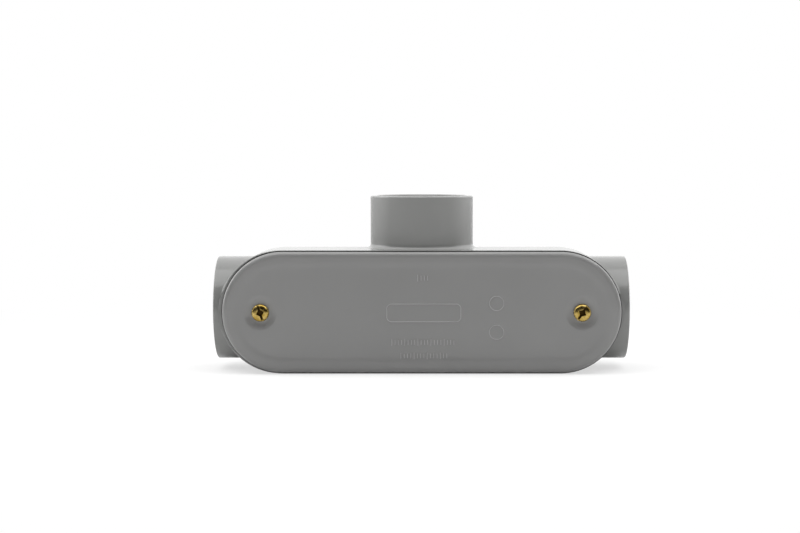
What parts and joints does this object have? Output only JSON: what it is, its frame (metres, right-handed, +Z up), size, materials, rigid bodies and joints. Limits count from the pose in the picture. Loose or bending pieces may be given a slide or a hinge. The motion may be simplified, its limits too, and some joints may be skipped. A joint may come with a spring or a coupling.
{
  "type": "conduit body",
  "caption": "Moulded plastic T-type conduit body: a straight run with socket ends, a side branch, and a flat round-ended cover screwed down over a gasket.",
  "frame": {"origin": "under the middle of the part, on the surface that the long side wall stands on", "axes": "+X along the straight run, +Y from the cover into the body, +Z up the branch"},
  "size_m": [0.199, 0.0598, 0.084],
  "materials": {
    "grey_pvc": "smooth moulded, satin gloss",
    "grey_pvc_cover": "smooth moulded, satin gloss",
    "gasket_rubber": "matt",
    "screw_brass": "plated, bright",
    "insert_brass": "turned"
  },
  "bodies": {
    "root": {"housing": "grey_pvc", "cover": "grey_pvc_cover", "gasket": "gasket_rubber", "cover_screw_left": "screw_brass", "cover_screw_right": "screw_brass", "thread_insert_left": "insert_brass", "thread_insert_right": "insert_brass"}
  },
  "joints": []
}
